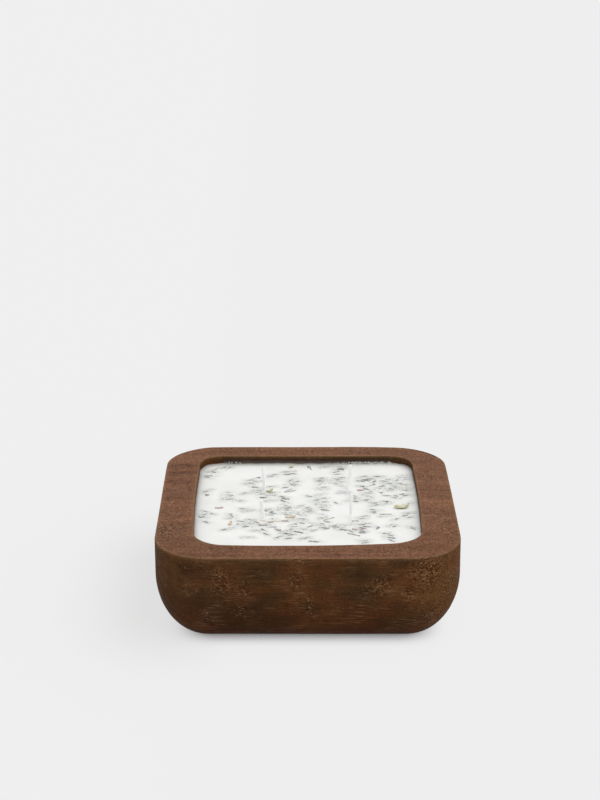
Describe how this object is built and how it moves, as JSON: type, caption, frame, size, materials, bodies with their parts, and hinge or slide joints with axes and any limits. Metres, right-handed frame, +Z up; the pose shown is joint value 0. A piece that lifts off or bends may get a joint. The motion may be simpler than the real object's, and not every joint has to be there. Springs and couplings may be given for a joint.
{
  "type": "scented candle in a wooden bowl",
  "caption": "Square carved wooden bowl with rounded corners and a flared-in foot, filled with white wax that holds upright cotton wicks and is strewn with dried lavender.",
  "frame": {"origin": "middle of the bowl's flat foot, on the surface that it stands on", "axes": "+Z up out of the bowl, +X to the right and +Y to the back, both square to its sides"},
  "size_m": [0.15, 0.15, 0.0588],
  "materials": {
    "carved_wood": "satin",
    "soy_wax": "satin",
    "cotton_wick": "matte",
    "tinned_steel": "satin",
    "foam_sticker": "matte",
    "dried_buds": "matte",
    "dried_florets": "matte",
    "dried_stems": "matte",
    "orange_petal": "matte",
    "pink_petal": "matte",
    "green_leaf": "matte"
  },
  "bodies": {
    "root": {"bowl": "carved_wood", "wax_fill": "soy_wax", "wick_front_left": "cotton_wick", "wick_front_right": "cotton_wick", "wick_back_left": "cotton_wick", "wick_back_right": "cotton_wick", "wick_tab_front_left": "tinned_steel", "wick_tab_front_right": "tinned_steel", "wick_tab_back_left": "tinned_steel", "wick_tab_back_right": "tinned_steel", "tab_sticker_front_left": "foam_sticker", "tab_sticker_front_right": "foam_sticker", "tab_sticker_back_left": "foam_sticker", "tab_sticker_back_right": "foam_sticker", "lavender_buds": "dried_buds", "lavender_florets": "dried_florets", "flower_stems": "dried_stems", "orange_petals": "orange_petal", "pink_petals": "pink_petal", "green_leaves": "green_leaf"}
  },
  "joints": []
}
